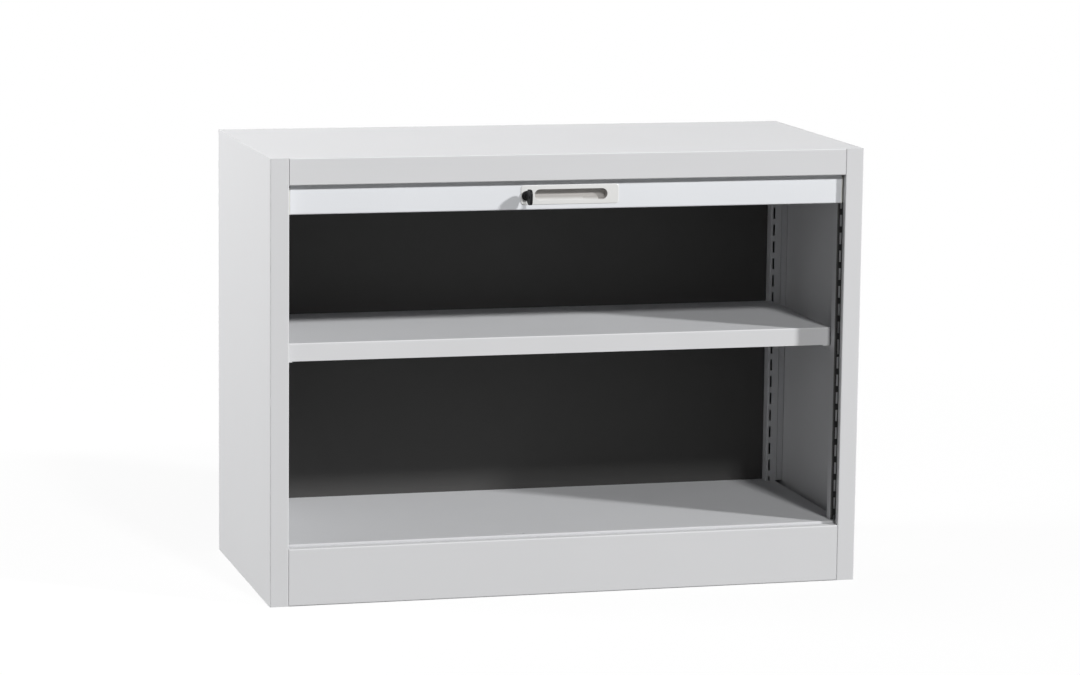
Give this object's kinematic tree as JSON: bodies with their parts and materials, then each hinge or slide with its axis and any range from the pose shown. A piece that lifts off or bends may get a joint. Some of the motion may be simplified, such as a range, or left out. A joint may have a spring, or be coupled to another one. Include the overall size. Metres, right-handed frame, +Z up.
{
  "type": "roll front cabinet",
  "caption": "Low steel storage cabinet with a slatted roll front that runs back over the top, a recessed handle with a hook lock, and an adjustable shelf on slotted uprights.",
  "frame": {"origin": "centre of the cabinet's footprint, on the floor it stands on", "axes": "+X to the right seen from the front, +Y from the open front to the back, +Z up"},
  "size_m": [1, 0.4838, 0.73],
  "materials": {
    "casing": "satin",
    "top_paint": "satin",
    "plinth_paint": "satin",
    "interior_paint": "satin",
    "shelf_paint": "satin",
    "inner_back_paint": "satin",
    "galvanised_steel": "satin",
    "rail_paint": "satin",
    "slat_plastic": "matte",
    "guide_plastic": "satin",
    "glide_nylon": "satin",
    "handle_plastic": "satin",
    "lock_black": "satin",
    "key_steel": "satin",
    "key_plastic": "satin",
    "lock_steel": "satin",
    "stop_rubber": "matte"
  },
  "bodies": {
    "cabinet": {"left_side_panel": "casing", "right_side_panel": "casing", "outer_back_panel": "casing", "back_rivets": "casing", "top_panel": "top_paint", "kick_plate": "plinth_paint", "bottom_shelf": "interior_paint", "ceiling_panel": "interior_paint", "left_front_upright": "interior_paint", "left_rear_upright": "interior_paint", "right_front_upright": "interior_paint", "right_rear_upright": "interior_paint", "adjustable_shelf": "shelf_paint", "shelf_stiffener": "shelf_paint", "shelf_brackets": "galvanised_steel", "left_floor_bearer": "galvanised_steel", "right_floor_bearer": "galvanised_steel", "rear_base_rail": "galvanised_steel", "inner_back_panel": "inner_back_paint", "lead_slat": "slat_plastic", "curtain_slats": "slat_plastic", "left_front_guide": "guide_plastic", "left_front_corner_guide": "guide_plastic", "left_top_guide": "guide_plastic", "left_rear_corner_guide": "guide_plastic", "left_rear_guide": "guide_plastic", "left_guide_spacers": "guide_plastic", "right_front_guide": "guide_plastic", "right_front_corner_guide": "guide_plastic", "right_top_guide": "guide_plastic", "right_rear_corner_guide": "guide_plastic", "right_rear_guide": "guide_plastic", "right_guide_spacers": "guide_plastic", "lock_keeper": "lock_steel", "curtain_stops": "stop_rubber"},
    "shutter": {"leading_rail": "rail_paint", "left_rail_glide": "glide_nylon", "right_rail_glide": "glide_nylon", "handle_shell": "handle_plastic", "lock_housing": "lock_black"},
    "lock": {"lock_plug": "lock_black", "key_blade": "key_steel", "key_bow": "key_plastic", "hook_cam": "lock_steel", "cam_screw": "lock_steel"}
  },
  "joints": [
    {"name": "shutter_slide", "type": "slide", "parent": "cabinet", "child": "shutter", "axis": [0, 0, -1], "range_m": [0, 0.5392], "deforming": ["lead_slat"]},
    {"name": "lock_turn", "type": "hinge", "parent": "shutter", "child": "lock", "pos_m": [-0.0753, -0.21, 0.6613], "axis": [0, -1, 0], "range_deg": [0, 90]}
  ]
}
